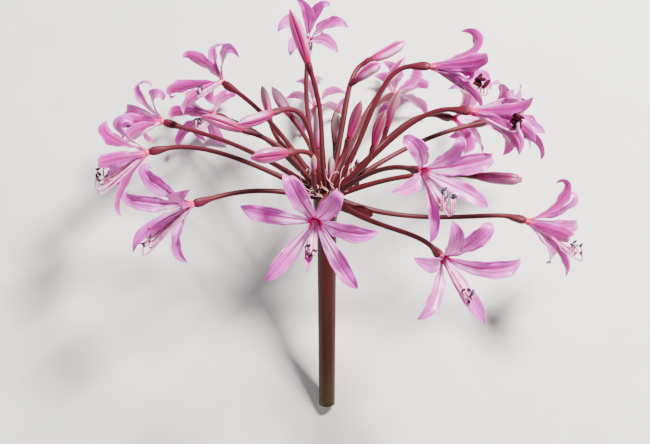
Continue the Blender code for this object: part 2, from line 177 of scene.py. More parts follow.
FLOWERS: tuple[Flower, ...] = (
    Flower("flower_front", (-11, -24), -0.128, (-0.10, -0.35, 0.93), (-17, -57, 1.0), (
        Tepal(-36, 18, curl=50.0, hook=160.0, width=1.15, roll=0.8),
        Tepal(11, 3, curl=50.0, hook=160.0, width=1.15, roll=0.8),
        Tepal(51, -35, width=1.05, hook=50.0), Tepal(31, -92, curl=35.0),
        Tepal(-20, -75, curl=20.0, width=0.55, length=0.85), Tepal(-62, -84, curl=35.0),
        Tepal(-87, -9, curl=35.0, width=1.05)), arch=0.10, dip=0.08),
    Flower("flower_left_low", (-134, -7), -0.035, (-0.80, -0.25, 0.40), (-185, -42, 1.0), (
        Tepal(-176, 29, 1.0, hook=150.0, width=1.15, look=0.6, roll=0.8),
        Tepal(-197, 6, -1.0, hook=120.0, width=1.1, look=0.6, roll=0.8),
        Tepal(-194, -55, 1.0, width=0.85), Tepal(-140, -65, 1.0, 60.0, look=0.5), Tepal(-137, 7, 1.0, 90.0),
        Tepal(-172, -42, -1.0, 60.0)), dip=0.3, fan=4.5),
    Flower("flower_left_mid", (-178, 45), 0.005, (-0.93, -0.20, 0.10), (-228, 22, 1.0), (
        Tepal(-220, 76, -1.0, hook=50.0, width=1.15, look=-0.6), Tepal(-229, 33, 1.0, look=-0.5),
        Tepal(-194, 70, 1.0, 40.0, hook=185.0, width=0.65, look=0.5, roll=0.50),
        Tepal(-203, 17, -1.0, 70.0, hook=120.0, look=0.5),
        Tepal(-206, -20, 1.0, width=0.9), Tepal(-217, 8, -1.0, 60.0)), dip=0.35, fan=4.5),
    Flower("flower_left_high", (-163, 75), 0.069, (-0.85, 0.25, 0.10), (-203, 66, 1.0), (
        Tepal(-174, 109, -1.0, 60.0, hook=140.0, width=0.75, look=0.4, roll=0.55),
        Tepal(-165, 96, 1.0, 70.0, hook=170.0, width=0.70, look=0.4, roll=0.55),
        Tepal(-194, 84, -1.0, 50.0, hook=190.0, look=0.6), Tepal(-205, 68, 1.0, 50.0, hook=60.0, look=-0.4),
        Tepal(-197, 52, 1.0, 50.0), Tepal(-172, 56, -1.0, 90.0))),
    Flower("flower_back_left_high", (-103, 114), 0.075, (-0.70, 0.50, -0.35), (-128, 106, 1.0), (
        Tepal(-143, 138, -1.0, hook=120.0, roll=0.82),
        Tepal(-100, 145, -1.0, 50.0, hook=150.0, width=0.9, look=0.5, roll=0.55),
        Tepal(-88, 139, 1.0, 60.0, hook=90.0, width=0.8, look=0.5, roll=0.6),
        Tepal(-150, 102, -1.0, hook=170.0), Tepal(-143, 82, 1.0), Tepal(-112, 92, -1.0, 90.0)), dip=0.15),
    Flower("flower_back_left_low", (-111, 81), 0.125, (-0.75, 0.25, -0.50), (-130, 74, 1.0), (
        Tepal(-155, 78, -1.0, hook=120.0), Tepal(-137, 106, -1.0, 70.0),
        Tepal(-91, 101, -1.0, 70.0, hook=90.0), Tepal(-149, 49, -1.0), Tepal(-99, 52, -1.0, 80.0),
        Tepal(-122, 56, -1.0, 80.0))),
    Flower("flower_top", (-19, 155), 0.045, (-0.05, 0.50, 0.85), (-19, 146, 1.0), (
        Tepal(-31, 198, width=0.8, look=0.8), Tepal(3, 190, hook=120.0, width=0.75, look=0.8, roll=0.8),
        Tepal(21, 169, curl=60.0, hook=60.0, width=0.85),
        Tepal(11, 144, curl=60.0), Tepal(-37, 141, curl=60.0), Tepal(-49, 165, curl=70.0, hook=60.0)),
        dip=0.15, fan=1.8, sway=-0.016),
    Flower("flower_back_centre", (-11, 90), 0.118, (0.0, 0.70, -0.70), (-13, 112, -1.0), (
        Tepal(-41, 98, -1.0, width=0.65, look=-0.6), Tepal(-31, 115, -1.0, width=0.7, look=-0.6),
        Tepal(-4, 117, -1.0, width=0.7, look=-0.6), Tepal(19, 103, -1.0, width=0.65, look=-0.6),
        Tepal(18, 80, -1.0, 40.0, width=0.65, look=-0.6), Tepal(-25, 61, -1.0, 40.0, width=0.6, look=-0.6))),
    Flower("flower_back_right", (66, 102), 0.122, (0.60, 0.35, -0.70), (62, 122, -1.0), (
        Tepal(100, 108, -1.0, 60.0, hook=110.0), Tepal(99, 80, -1.0), Tepal(56, 135, -1.0, 70.0),
        Tepal(47, 121, -1.0, 80.0), Tepal(86, 134, -1.0, 60.0), Tepal(51, 84, -1.0, 80.0))),
    Flower("flower_right_high", (103, 130), -0.030, (0.95, -0.05, 0.25), (161, 111, 1.0), (
        Tepal(134, 165, 1.0, 60.0, hook=120.0, look=-0.5, roll=0.5), Tepal(160, 142, 1.0, width=1.1),
        Tepal(154, 85, 1.0, width=0.75, look=-0.5),
        Tepal(134, 118, 1.0, 50.0, hook=160.0, length=0.8, roll=0.6),
        Tepal(143, 148, -1.0, 60.0, width=0.8), Tepal(164, 107, -1.0, 50.0, width=1.25, look=0.6)),
        arch=0.05, anther=Anther.FRESH),
    Flower("flower_right_upper", (144, 85), -0.064, (0.85, -0.15, 0.45), (192, 75, 1.0), (
        Tepal(206, 100, 1.0, 25.0, width=0.85, look=-0.4),
        Tepal(214, 38, 1.0, hook=50.0, width=1.1, look=-0.6),
        Tepal(192, 42, 1.0, 50.0, width=1.2, look=-0.6), Tepal(169, 95, -1.0, 60.0, width=0.9),
        Tepal(218, 64, -1.0, 30.0, width=0.9), Tepal(208, 54, 1.0, 30.0, width=1.35, look=-0.8)),
        anther=Anther.FRESH),
    Flower("flower_right_upper_back", (125, 79), 0.070, (0.70, -0.10, -0.30), (148, 66, -1.0), (
        Tepal(120, 107, 1.0, 90.0, hook=60.0), Tepal(138, 110, -1.0, 70.0), Tepal(153, 40, -1.0),
        Tepal(172, 62, -1.0), Tepal(122, 60, -1.0, 80.0, width=0.8, length=0.8), Tepal(132, 42, 1.0, 70.0))),
    Flower("flower_far_right_back", (159, 75), 0.044, (0.90, 0.20, -0.20), (196, 92, 1.0), (
        Tepal(163, 111, 1.0, 90.0, hook=60.0), Tepal(192, 113, -1.0), Tepal(178, 98, 1.0, 50.0, hook=150.0),
        Tepal(210, 72, 1.0), Tepal(203, 48, -1.0), Tepal(176, 42, -1.0, 80.0))),
    Flower("flower_right_mid", (94, 26), -0.100, (0.55, -0.15, 0.82), (124, -2, 1.0), (
        Tepal(76, 57, curl=70.0, hook=110.0, width=1.1),
        Tepal(128, 57, curl=50.0, hook=150.0, width=1.1, roll=0.8),
        Tepal(163, 40, width=1.3, hook=110.0, roll=0.85), Tepal(161, -10, width=1.05),
        Tepal(103, -46, width=0.8), Tepal(65, 5)), dip=0.5),
    Flower("flower_right_low", (115, -60), -0.085, (0.40, -0.45, 0.80), (144, -100, 1.0), (
        Tepal(193, -61, 1.0, 80.0, hook=40.0, width=1.15), Tepal(158, -127, 1.0), Tepal(91, -123, 1.0),
        Tepal(87, -61, 1.0, 60.0), Tepal(125, -24, 1.0, 60.0, hook=50.0, width=1.1),
        Tepal(154, -28, 1.0, hook=150.0, width=1.15)),
        arch=-0.15, dip=0.12),
    Flower("flower_right_far", (199, -24), 0.005, (0.92, -0.25, 0.15), (253, -52, 1.0), (
        Tepal(229, 14, 1.0, 85.0, hook=110.0, look=-0.4), Tepal(239, 2, -1.0, 60.0, hook=150.0, width=0.8),
        Tepal(241, -41, 1.0, 30.0, hook=60.0), Tepal(239, -80, 1.0, width=0.9), Tepal(219, -66, -1.0, 70.0),
        Tepal(250, -24, -1.0, 60.0)), arch=-0.34, dip=0.2, bend=0.55),
)

BUDS: tuple[Bud, ...] = (
    Bud("bud_top", (-19, 133), -0.020, (-37, 187), -0.040, 0.0058, 0.05, pale=0.4, bend=1.3, spin=52.0),
    Bud("bud_back_left", (-58, 82), 0.060, (-65, 111), 0.074, 0.0045, pale=0.5, green=0.6),
    Bud("bud_back", (-35, 80), 0.080, (-55, 110), 0.092, 0.0055, pale=1.3, spin=0.0),
    Bud("bud_left", (-84, 67), -0.025, (-125, 81), -0.036, 0.0055, pale=0.22, spin=60.0),
    Bud("bud_left_drooping", (-54, 84), -0.045, (-89, 73), -0.062, 0.0055, 0.9, pale=0.65, blunt=0.3),
    Bud("bud_left_near", (-40, 44), -0.050, (-76, 39), -0.066, 0.0065, 0.7, pale=0.25, blunt=0.3, spin=45.0),
    Bud("bud_slender", (-10, 48), 0.009, (-10, 89), 0.001, 0.0035, pale=1.0, green=0.3, spin=0.0),
    Bud("bud_back_short", (10, 85), 0.075, (18, 99), 0.096, 0.0040, pale=1.0, sway=0.011),
    Bud("bud_middle_pale", (10, 53), 0.034, (9, 85), 0.028, 0.0048, pale=1.0, green=0.8, spin=0.0),
    Bud("bud_middle_dark", (22, 59), 0.000, (34, 96), -0.010, 0.0050, pale=0.0, green=0.5),
    Bud("bud_right", (60, 69), 0.030, (73, 107), 0.026, 0.0045, pale=0.12, green=0.6),
    Bud("bud_right_near", (47, 51), -0.005, (59, 87), -0.014, 0.0050, pale=0.0, green=0.5),
    Bud("bud_upper_right", (44, 137), 0.035, (78, 155), 0.033, 0.0055, pale=0.95, blunt=0.6, bend=0.6,
        spin=20.0),
    Bud("bud_upper_near", (30, 117), 0.005, (53, 133), -0.010, 0.0055, -0.1, pale=0.85, blunt=0.6,
        bend=0.1, spin=20.0),
    Bud("bud_upper_back", (57, 110), 0.060, (78, 139), 0.056, 0.0050, pale=0.7),
    Bud("bud_far_right", (149, 21), -0.030, (195, 17), -0.034, 0.0056, pale=0.22, blunt=0.8),
    Bud("bud_small_striped", (3, 19), -0.018, (4, 41), -0.028, 0.0032, pale=0.5, green=0.8, spin=0.0),
    Bud("bud_small_withered", (-13, 26), -0.038, (-13, 42), -0.044, 0.0030, pale=0.3, green=0.9),
    Bud("bud_small_pale", (23, 45), 0.056, (27, 56), 0.062, 0.0026, pale=1.0),
    Bud("bud_small_pink", (30, 25), 0.030, (30, 38), 0.028, 0.0026, pale=0.6),
)


def srgb(red: int, green: int, blue: int) -> Colour:
    """Turns a colour as it is seen on a screen into one for a shader.

    Args:
        red: Red from 0 to 255.
        green: Green from 0 to 255.
        blue: Blue from 0 to 255.

    Returns:
        The linear colour.
    """
    def linear(value: int) -> float:
        """Turns one channel linear."""
        part = value / 255.0
        return part / 12.92 if part <= 0.04045 else ((part + 0.055) / 1.055) ** 2.4

    return linear(red), linear(green), linear(blue)


def blend(low: float, high: float, value: float) -> float:
    """Gives 0 for a value below low, 1 for one above high and a smooth step between."""
    part = min(1.0, max(0.0, (value - low) / (high - low)))
    return part * part * (3.0 - 2.0 * part)


def sight_point(sight: tuple[float, float], depth: float) -> Vector:
    """Gives the place of a sight (right, up) at a depth behind the plane through the umbel's middle."""
    on_plane = (SIGHT_RIGHT * sight[0] + SIGHT_UP * sight[1]) * SIGHT_STEP
    return EYE + (on_plane - EYE) * (1.0 + depth / SIGHT_DISTANCE)


def seen_at(start: Vector, right: float, up: float, reach: float, side: float) -> Vector:
    """Gives the place on a line of sight at a given reach from start.

    Args:
        start: Where the reach is measured from.
        right: The sight's steps to the right.
        up: The sight's steps up.
        reach: Distance from start.
        side: 1 for the nearer of the two places, -1 for the one behind.

    Returns:
        The place in the plant frame.
    """
    on_plane = (SIGHT_RIGHT * right + SIGHT_UP * up) * SIGHT_STEP
    ray = (on_plane - EYE).normalized()
    middle = (start - EYE).dot(ray)
    miss = (start - EYE - ray * middle).length
    half = math.sqrt(max(0.0, reach * reach - miss * miss))
    return EYE + ray * (middle - side * half)


def facing(faces: tuple[float, float, float]) -> Vector:
    """Turns a (right, up, toward) direction into one of the plant frame."""
    return (SIGHT_RIGHT * faces[0] + SIGHT_UP * faces[1] + SIGHT_TOWARD * faces[2]).normalized()


def bezier(points: Sequence[Vector], place: float) -> Vector:
    """Gives the point of a cubic curve with four control points at a place from 0 to 1."""
    rest = 1.0 - place
    return (points[0] * rest**3 + points[1] * (3 * place * rest**2)
            + points[2] * (3 * place**2 * rest) + points[3] * place**3)


def spread(count: int) -> list[float]:
    """Gives count even places from 0 to 1."""
    return [i / (count - 1) for i in range(count)]


def lengths_along(path: Sequence[Vector]) -> list[float]:
    """Gives the distance along a path at each of its points."""
    steps = ((after - before).length for before, after in zip(path, path[1:]))
    return list(accumulate(steps, initial=0.0))


@dataclass
class Sweep:
    """A round or lobed rod along a path.

    Its vertices carry two attributes: ring holds the cosine and sine of the place round the rod and the
    place along it, and mark holds values that the caller chooses.
    """

    path: list[Vector]
    radii: list[float]
    sides: int
    lobes: Callable[[float, float], float] | None = None
    mark: tuple[float, float, float] = (0.0, 0.0, 0.0)
    toward: Vector | None = None

    def frames(self) -> list[tuple[Vector, Vector]]:
        """Carries two directions across the path along it without a twist.

        Returns:
            Both directions at each of its points.
        """
        ways = []
        for i, _ in enumerate(self.path):
            before = self.path[max(0, i - 1)]
            after = self.path[min(len(self.path) - 1, i + 1)]
            ways.append((after - before).normalized())
        side = self.toward or ways[0].orthogonal()
        frames = []
        for way in ways:
            side = (side - way * side.dot(way)).normalized()
            frames.append((side, way.cross(side)))
        return frames

    def add_to(self, bm: bmesh.types.BMesh) -> None:
        """Adds the rod to a mesh under construction.

        Args:
            bm: The mesh, with the layers ring, mark and turn.
        """
        ring = bm.verts.layers.float_vector["ring"]
        mark = bm.verts.layers.float_vector["mark"]
        turn = bm.verts.layers.float["turn"]
        frames = self.frames()
        lengths = lengths_along(self.path)
        verts = bmesh.ops.create_circle(bm, cap_ends=True, segments=self.sides, radius=1.0)["verts"]
        for vert in verts:
            vert[turn] = math.atan2(vert.co.y, vert.co.x)
            vert[mark] = Vector(self.mark)
        face = verts[0].link_faces[0]
        for i, centre in enumerate(self.path):
            if i:
                grown = bmesh.ops.extrude_face_region(bm, geom=[face])["geom"]
                if i > 1:
                    bm.faces.remove(face)
                verts = [item for item in grown if isinstance(item, bmesh.types.BMVert)]
                face = next(item for item in grown if isinstance(item, bmesh.types.BMFace))
            side, up = frames[i]
            place = lengths[i] / lengths[-1]
            for vert in verts:
                angle = vert[turn]
                radius = self.radii[i] * (self.lobes(angle, place) if self.lobes else 1.0)
                vert.co = centre + (side * math.cos(angle) + up * math.sin(angle)) * radius
                vert[ring] = Vector((math.cos(angle), math.sin(angle), place))

    def mesh(self, name: str) -> bpy.types.Mesh:
        """Makes a mesh of the rod alone."""
        bm = sweep_mesh()
        self.add_to(bm)
        return finished(bm, name)


def sweep_mesh() -> bmesh.types.BMesh:
    """Starts a mesh with the layers that a sweep writes.

    Returns:
        The empty mesh.
    """
    bm = bmesh.new()
    bm.verts.layers.float_vector.new("ring")
    bm.verts.layers.float_vector.new("mark")
    bm.verts.layers.float.new("turn")
    return bm


@dataclass
class Midrib:
    """The line that a tepal's blade follows, from its claw to the tip's sight."""

    claw: Vector
    axis: Vector
    tepal: Tepal
    stretches: int = 90
    usual_look: float = 0.35

    def turn(self, place: float) -> float:
        """Gives the angle by which the line has turned at a place from 0 to 1."""
        rolled = math.radians(self.tepal.hook) * blend(self.tepal.roll, 1.0, place)
        return math.radians(self.tepal.curl) * place**self.tepal.late + rolled

    def bend(self) -> list[tuple[float, float]]:
        """Draws the flat line, of length 1, that turns as the blade does.

        Returns:
            Its points.
        """
        points = [(0.0, 0.0)]
        for i in range(self.stretches):
            turn = self.turn((i + 0.5) / self.stretches)
            x, y = points[-1]
            points.append((x + math.cos(turn) / self.stretches, y + math.sin(turn) / self.stretches))
        return points

    def __post_init__(self) -> None:
        """Lays the bent line between the claw and the tip."""
        self.points = self.bend()
        end_x, end_y = self.points[-1]
        chord = math.hypot(end_x, end_y)
        reach = chord * TEPAL_LENGTH * self.tepal.length
        tip = seen_at(self.claw, self.tepal.right, self.tepal.up, reach, self.tepal.side)
        way = tip - self.claw
        self.length = way.length / chord
        way.normalize()
        across = way.cross(self.axis)
        if across.length < 0.05:
            across = way.cross(SIGHT_UP)
        self.across = across.normalized()
        inward = self.across.cross(way).normalized()
        lift = math.atan2(end_y, end_x)
        self.ahead = way * math.cos(lift) + inward * math.sin(lift)
        self.outward = self.across.cross(self.ahead) * -1.0

    def look_turn(self) -> float:
        """Works out how far the tepal's look turns its blade.

        Returns:
            The angle round the line.
        """
        point, along, inner = self.at(0.55)
        sight = (EYE - point).normalized()
        sight -= along * sight.dot(along)
        look = self.tepal.look or math.copysign(self.usual_look, inner.dot(sight))
        shown = inner * math.copysign(1.0, look)
        turn = math.atan2(along.dot(shown.cross(sight)), shown.dot(sight))
        return turn * abs(look)

    def at(self, place: float) -> tuple[Vector, Vector, Vector]:
        """Gives a place on the line.

        Args:
            place: How far along it, from 0 to 1.

        Returns:
            The point, the way along the line, and the way to its inner side.
        """
        spot = min(place, 0.99999) * (len(self.points) - 1)
        i = int(spot)
        part = spot - i
        x = self.points[i][0] * (1 - part) + self.points[i + 1][0] * part
        y = self.points[i][1] * (1 - part) + self.points[i + 1][1] * part
        turn = self.turn(place)
        along = self.ahead * math.cos(turn) + self.outward * math.sin(turn)
        inner = self.ahead * math.sin(turn) - self.outward * math.cos(turn)
        return self.claw + (self.ahead * x + self.outward * y) * self.length, along, inner


@dataclass
class Blade:
    """One channelled, slightly waved tepal blade of even thickness."""

    midrib: Midrib
    chance: random.Random
    tone: float
    columns: int = 14
    rows: int = 34
    claw_share: float = 0.26
    widest: float = 0.60
    tip_share: float = 0.03
    ripple: float = 0.035
    channel: float = 0.0019
    groove: float = 0.00040
    groove_width: float = 0.16
    pleat: float = 0.00022
    wave: float = 0.0012
    most_twist: float = 14.0
    most_lean: float = 0.0008
    thickness: float = 0.00040

    def half_width(self, place: float) -> float:
        """Gives half the blade's width at a place.

        Args:
            place: How far along it, from 0 at its claw to 1 at its tip.

        Returns:
            The distance from the midrib to the edge.
        """
        if place < self.widest:
            share = self.claw_share + (1.0 - self.claw_share) * blend(-0.12, self.widest, place)
        else:
            past = (place - self.widest) / (1.0 - self.widest)
            share = max(self.tip_share, (1.0 - past**2.4) ** 0.95)
        ripple = 1.0 + self.ripple * math.sin(19.0 * place + 9.0 * self.tone)
        return TEPAL_HALF_WIDTH * self.midrib.tepal.width * share * ripple

    def height(self, across: float, along: float, fullness: float, phase: float) -> float:
        """Gives how far the blade stands out towards its inner side.

        Args:
            across: The place across it, from -1 to 1.
            along: The place along it, from 0 to 1.
            fullness: Its width there, as a share of a usual blade's.
            phase: Where its waves start.

        Returns:
            The distance from the midrib's plane.
        """
        dish = self.channel * fullness * across * across
        rib = -self.groove * math.exp(-(across / self.groove_width) ** 2) * blend(1.0, 0.75, along)
        rib += self.pleat * fullness * math.cos(10.0 * across + 2.0 * along + phase)
        swing = math.sin(15.0 * along + phase + 1.6 * across)
        swing += 0.5 * math.sin(31.0 * along - phase - across)
        return dish + rib + self.wave * fullness * abs(across)**3 * swing

    def mesh(self) -> bpy.types.Mesh:
        """Makes the blade.

        Returns:
            The mesh, whose leaf attribute holds the place across, the place along and 1 on the inner
            side, and whose mark attribute holds the blade's tone and its phase.
        """
        bm = bmesh.new()
        leaf = bm.verts.layers.float_vector.new("leaf")
        mark = bm.verts.layers.float_vector.new("mark")
        bmesh.ops.create_grid(bm, x_segments=self.columns, y_segments=self.rows, size=1.0)
        phase = self.chance.uniform(0.0, MOST_PHASE)
        twist = math.radians(self.chance.uniform(-self.most_twist, self.most_twist))
        look = self.midrib.look_turn()
        lean = self.chance.uniform(-self.most_lean, self.most_lean)
        for vert in bm.verts:
            across = vert.co.x
            along = (vert.co.y + 1.0) / 2.0
            centre, ahead, inner = self.midrib.at(along)
            side = self.midrib.across.copy()
            turn = Quaternion(ahead, twist * along + look * blend(0.0, 0.45, along))
            side.rotate(turn)
            inner.rotate(turn)
            half = self.half_width(along)
            aside = half * across + lean * math.sin(math.pi * along)
            height = self.height(across, along, half / TEPAL_HALF_WIDTH, phase)
            vert.co = centre + side * aside + inner * height
            vert[leaf] = Vector((across, along, 1.0))
            vert[mark] = Vector((self.tone, phase / MOST_PHASE, 0.0))
        bmesh.ops.recalc_face_normals(bm, faces=bm.faces)
        bm.faces.ensure_lookup_table()
        if bm.faces[0].normal.dot(self.midrib.at(0.0)[2]) < 0.0:
            bmesh.ops.reverse_faces(bm, faces=bm.faces)
        first = len(bm.verts)
        bmesh.ops.solidify(bm, geom=bm.faces, thickness=self.thickness)
        bm.verts.ensure_lookup_table()
        for vert in bm.verts[first:]:
            vert[leaf] = Vector((vert[leaf].x, vert[leaf].y, 0.0))
        return finished(bm, "blade")


def to_mesh(bm: bmesh.types.BMesh, name: str) -> bpy.types.Mesh:
    """Turns a bmesh into a mesh and frees it.

    Args:
        bm: The mesh under construction.
        name: The mesh's name.

    Returns:
        The mesh.
    """
    mesh = bpy.data.meshes.new(name)
    bm.to_mesh(mesh)
    bm.free()
    return mesh


def finished(bm: bmesh.types.BMesh, name: str) -> bpy.types.Mesh:
    """Turns a closed bmesh into a mesh whose faces point out.

    Args:
        bm: The mesh under construction, which is freed.
        name: The mesh's name.

    Returns:
        The finished mesh.
    """
    bmesh.ops.recalc_face_normals(bm, faces=bm.faces)
    if bm.calc_volume(signed=True) < 0.0:
        bmesh.ops.reverse_faces(bm, faces=bm.faces)
    return to_mesh(bm, name)


def joined(meshes: Iterable[bpy.types.Mesh], name: str) -> bpy.types.Mesh:
    """Puts several meshes in one, keeping their attributes.

    Args:
        meshes: The meshes to put together.
        name: The new mesh's name.

    Returns:
        The joint mesh.
    """
    bm = bmesh.new()
    for mesh in meshes:
        bm.from_mesh(mesh)
        bpy.data.meshes.remove(mesh)
    return to_mesh(bm, name)


def placed(name: str, data: bpy.types.ID) -> bpy.types.Object:
    """Puts a mesh, a light or a camera in the scene.

    Args:
        name: The object's name.
        data: What it shows.

    Returns:
        The object.
    """
    item = bpy.data.objects.new(name, data)
    bpy.context.scene.collection.objects.link(item)
    return item


def show(name: str, mesh: bpy.types.Mesh, material: bpy.types.Material, node: str) -> None:
    """Lays a mesh down as a smooth piece of the part.

    Args:
        name: The piece's name.
        mesh: Its mesh in the plant frame.
        material: Its finish.
        node: The frame's node that it stands for.
    """
    mesh.transform(LYING)
    mesh.shade_smooth()
    mesh.materials.append(material)
    piece = placed(name, mesh)
    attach(piece, BODY)
    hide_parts(node)
    LOG.info("%s: %d faces", name, len(mesh.polygons))


Socket = bpy.types.NodeSocket
Source = Socket | float | tuple[float, ...]
Inputs = dict[str | int, Source]

# The sockets of a Mix node that mixes colours.
MIX_INPUTS = (0, 6, 7)
MIX_RESULT = 2


@dataclass
class Wiring:
    """Adds nodes to one node tree and joins them."""

    tree: bpy.types.NodeTree

    def node(self, kind: str, given: Inputs | None = None, **settings: object) -> bpy.types.Node:
        """Adds a node.

        Args:
            kind: The node's type name without its ShaderNode prefix.
            given: What its inputs are set or joined to.
            settings: Properties to set on it.

        Returns:
            The node.
        """
        made = self.tree.nodes.new(kind if kind.startswith("Node") else "ShaderNode" + kind)
        for key, value in settings.items():
            setattr(made, key, value)
        self.feed(made, given or {})
        return made

    def feed(self, node: bpy.types.Node, given: Inputs) -> None:
        """Sets inputs of a node to values, or joins outputs to them.

        Args:
            node: The node.
            given: A value or an output for each input, by its name or number.
        """
        for key, value in given.items():
            socket = node.inputs[key]
            if isinstance(value, Socket):
                self.tree.links.new(value, socket)
            else:
                socket.default_value = (*value, 1.0) if socket.type == "RGBA" else value

    def math(self, operation: str, *values: Source) -> Socket:
        """Adds a Math node with the given inputs and gives its output."""
        return self.node("Math", dict(enumerate(values)), operation=operation).outputs[0]

    def times(self, first: Source, second: Source) -> Socket:
        """Multiplies two values."""
        return self.math("MULTIPLY", first, second)

    def step(self, value: Source, low: float, high: float, start: float = 0.0, end: float = 1.0) -> Socket:
        """Gives a smooth step of a value from start at low to end at high."""
        given = {"Value": value, "From Min": low, "From Max": high, "To Min": start, "To Max": end}
        return self.node("MapRange", given, interpolation_type="SMOOTHSTEP").outputs["Result"]

    def mix(self, share: Source, first: Source, second: Source) -> Socket:
        """Mixes two colours by a share and gives the result."""
        given = dict(zip(MIX_INPUTS, (share, first, second)))
        return self.node("Mix", given, data_type="RGBA").outputs[MIX_RESULT]

    def coats(self, colour: Source, *coats: tuple[Source, Source]) -> Source:
        """Lays colours over a first one, each by its share.

        Args:
            colour: The first colour.
            coats: The share and the colour of each coat, from the lowest up.

        Returns:
            The colour that results.
        """
        for share, over in coats:
            colour = self.mix(share, colour, over)
        return colour

    def noise(self, vector: Source, scale: float, detail: float = 3.0, roughness: float = 0.5) -> Socket:
        """Adds a Noise Texture at a place and gives its value."""
        given = {"Vector": vector, "Scale": scale, "Detail": detail, "Roughness": roughness}
        return self.node("TexNoise", given).outputs[0]

    def combine(self, *parts: Source) -> Socket:
        """Puts three values together in a vector."""
        return self.node("CombineXYZ", dict(enumerate(parts))).outputs[0]

    def parts(self, vector: Socket) -> list[Socket]:
        """Takes a vector apart into its three values."""
        return list(self.node("SeparateXYZ", {0: vector}).outputs)

    def stretch(self, vector: Socket, scale: tuple[float, float, float]) -> Socket:
        """Scales a vector by a factor for each axis."""
        return self.node("VectorMath", {0: vector, 1: scale}, operation="MULTIPLY").outputs[0]

    def attribute(self, name: str) -> tuple[Socket, list[Socket]]:
        """Reads a vector attribute and gives it whole and in its three parts."""
        whole = self.node("Attribute", attribute_name=name).outputs["Vector"]
        return whole, self.parts(whole)

    def bump(self, height: Socket, distance: float, strength: float) -> Socket:
        """Turns a height into a normal."""
        given = {"Height": height, "Distance": distance, "Strength": strength}
        return self.node("Bump", given).outputs[0]

    def group(self, tree: bpy.types.NodeTree, first: str, second: str,
              given: Inputs) -> tuple[Socket, Socket]:
        """Adds a node group with the given inputs and gives two of its outputs by name."""
        outputs = self.node("Group", given, node_tree=tree).outputs
        return outputs[first], outputs[second]


def new_material(name: str) -> tuple[bpy.types.Material, Wiring, bpy.types.Node]:
    """Makes a material.

    Args:
        name: The material's name.

    Returns:
        The material, its wiring and its shader.
    """
    made = bpy.data.materials.new(name)
    made.use_nodes = True
    return made, Wiring(made.node_tree), made.node_tree.nodes["Principled BSDF"]


def group_tree(name: str, inputs: dict[str, str],
               outputs: Sequence[str]) -> tuple[bpy.types.NodeTree, Wiring]:
    """Makes an empty node group.

    Args:
        name: The group's name.
        inputs: The kind of each input socket by its name.
        outputs: The names of its output sockets, which give values.

    Returns:
        The group and its wiring.
    """
    tree = bpy.data.node_groups.new(name, "ShaderNodeTree")
    for way, sockets in (("INPUT", inputs), ("OUTPUT", dict.fromkeys(outputs, "Float"))):
        for socket, kind in sockets.items():
            tree.interface.new_socket(name=socket, in_out=way, socket_type="NodeSocket" + kind)
    return tree, Wiring(tree)


def vein_group() -> bpy.types.NodeTree:
    """Makes the lengthwise veins that the petals and the bract share.

    Returns:
        A group that turns a place across and a place along into a vein mask and a fine mottle.
    """
    inputs = dict.fromkeys(("Across", "Along", "Count", "Seed"), "Float")
    tree, wiring = group_tree("lengthwise_veins", inputs, ("Vein", "Mottle"))
    across, along, count, seed, *_ = wiring.node("NodeGroupInput").outputs
    place = wiring.combine(across, wiring.times(along, 0.9), wiring.times(seed, 40.0))
    wander = wiring.noise(place, 3.0, 2.0)
    moved = wiring.math("ADD", across, wiring.times(wander, 0.16))
    wave = wiring.math("SINE", wiring.times(moved, count))
    fine = wiring.math("SINE", wiring.times(moved, wiring.times(count, 2.7)))
    both = wiring.math("ADD", wiring.times(wave, 0.65), wiring.times(fine, 0.35))
    mottle = wiring.noise(place, 6.0, 4.0, 0.6)
    wiring.node("NodeGroupOutput", {"Vein": wiring.step(both, 0.15, 0.95), "Mottle": mottle})
    return tree


def mottle_group() -> bpy.types.NodeTree:
    """Makes the mottle and the fine lengthwise streaks that the stems and the buds share.

    Returns:
        A group that turns a ring place into a mottle and streaks.
    """
    tree, wiring = group_tree("stem_mottle", {"Ring": "Vector", "Length": "Float"}, ("Mottle", "Streak"))
    ring, length, *_ = wiring.node("NodeGroupInput").outputs
    round_x, round_y, along = wiring.parts(ring)
    place = wiring.combine(round_x, round_y, wiring.times(along, length))
    mottle = wiring.noise(wiring.stretch(place, (3.0, 3.0, 0.4)), 1.6)
    streak = wiring.noise(wiring.stretch(place, (7.0, 7.0, 0.1)), 1.6)
    wiring.node("NodeGroupOutput", {"Mottle": mottle, "Streak": streak})
    return tree


